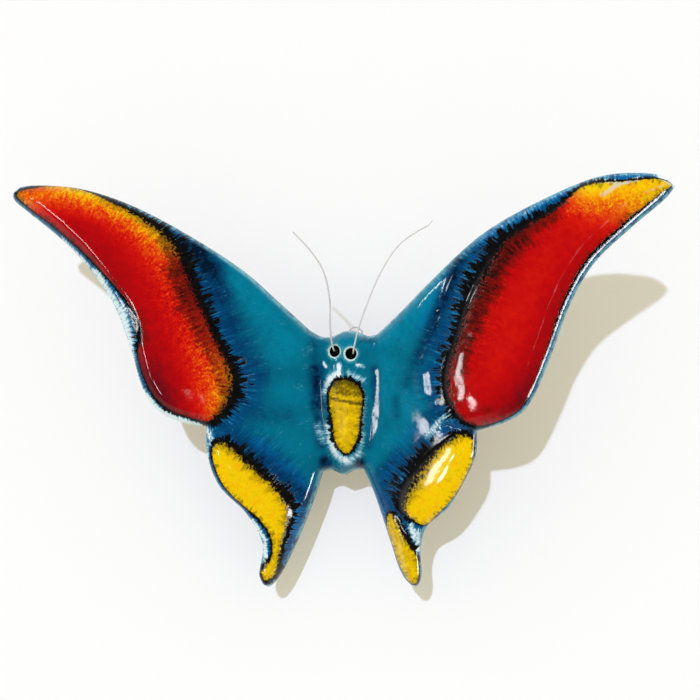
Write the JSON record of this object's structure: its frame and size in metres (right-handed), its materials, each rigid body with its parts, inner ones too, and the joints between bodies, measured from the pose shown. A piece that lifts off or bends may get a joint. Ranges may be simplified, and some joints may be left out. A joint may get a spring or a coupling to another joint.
{
  "type": "brooch",
  "caption": "Butterfly brooch: a glazed ceramic butterfly with wire antennae, on a bar pin whose hinged stem closes in a turning safety catch.",
  "frame": {"origin": "centre of the back plate's rear face, where the cloth lies when the brooch is worn", "axes": "+Z out of the brooch's face, +Y towards the butterfly's head (up when worn), +X to the right as the face is seen"},
  "size_m": [0.103, 0.0647, 0.0221],
  "materials": {
    "glazed_ceramic": "glossy turquoise and blue glaze with red, orange and yellow wing patches edged in black",
    "silvered_wire": "drawn silver-coloured wire",
    "epoxy": "hardened clear adhesive",
    "nickel_plate": "bright nickel plating",
    "pin_steel": "drawn steel"
  },
  "bodies": {
    "brooch": {"ceramic_butterfly": "glazed_ceramic", "antenna_wire": "silvered_wire", "antenna_glue": "epoxy", "glue_pad": "epoxy", "back_plate": "nickel_plate", "hinge_joint": "nickel_plate", "joint_rivet": "pin_steel", "catch_base": "nickel_plate"},
    "pin": {"pin_stem": "pin_steel"},
    "catch": {"catch_rotor": "nickel_plate"}
  },
  "joints": [
    {"name": "pin_hinge", "type": "hinge", "parent": "brooch", "child": "pin", "pos_m": [-0.0154, 0, -0.00465], "axis": [0, 1, 0], "range_deg": [0, 100]},
    {"name": "catch_turn", "type": "hinge", "parent": "brooch", "child": "catch", "pos_m": [0.0152, 0, -0.00465], "axis": [1, 0, 0], "range_deg": [0, 110]}
  ]
}
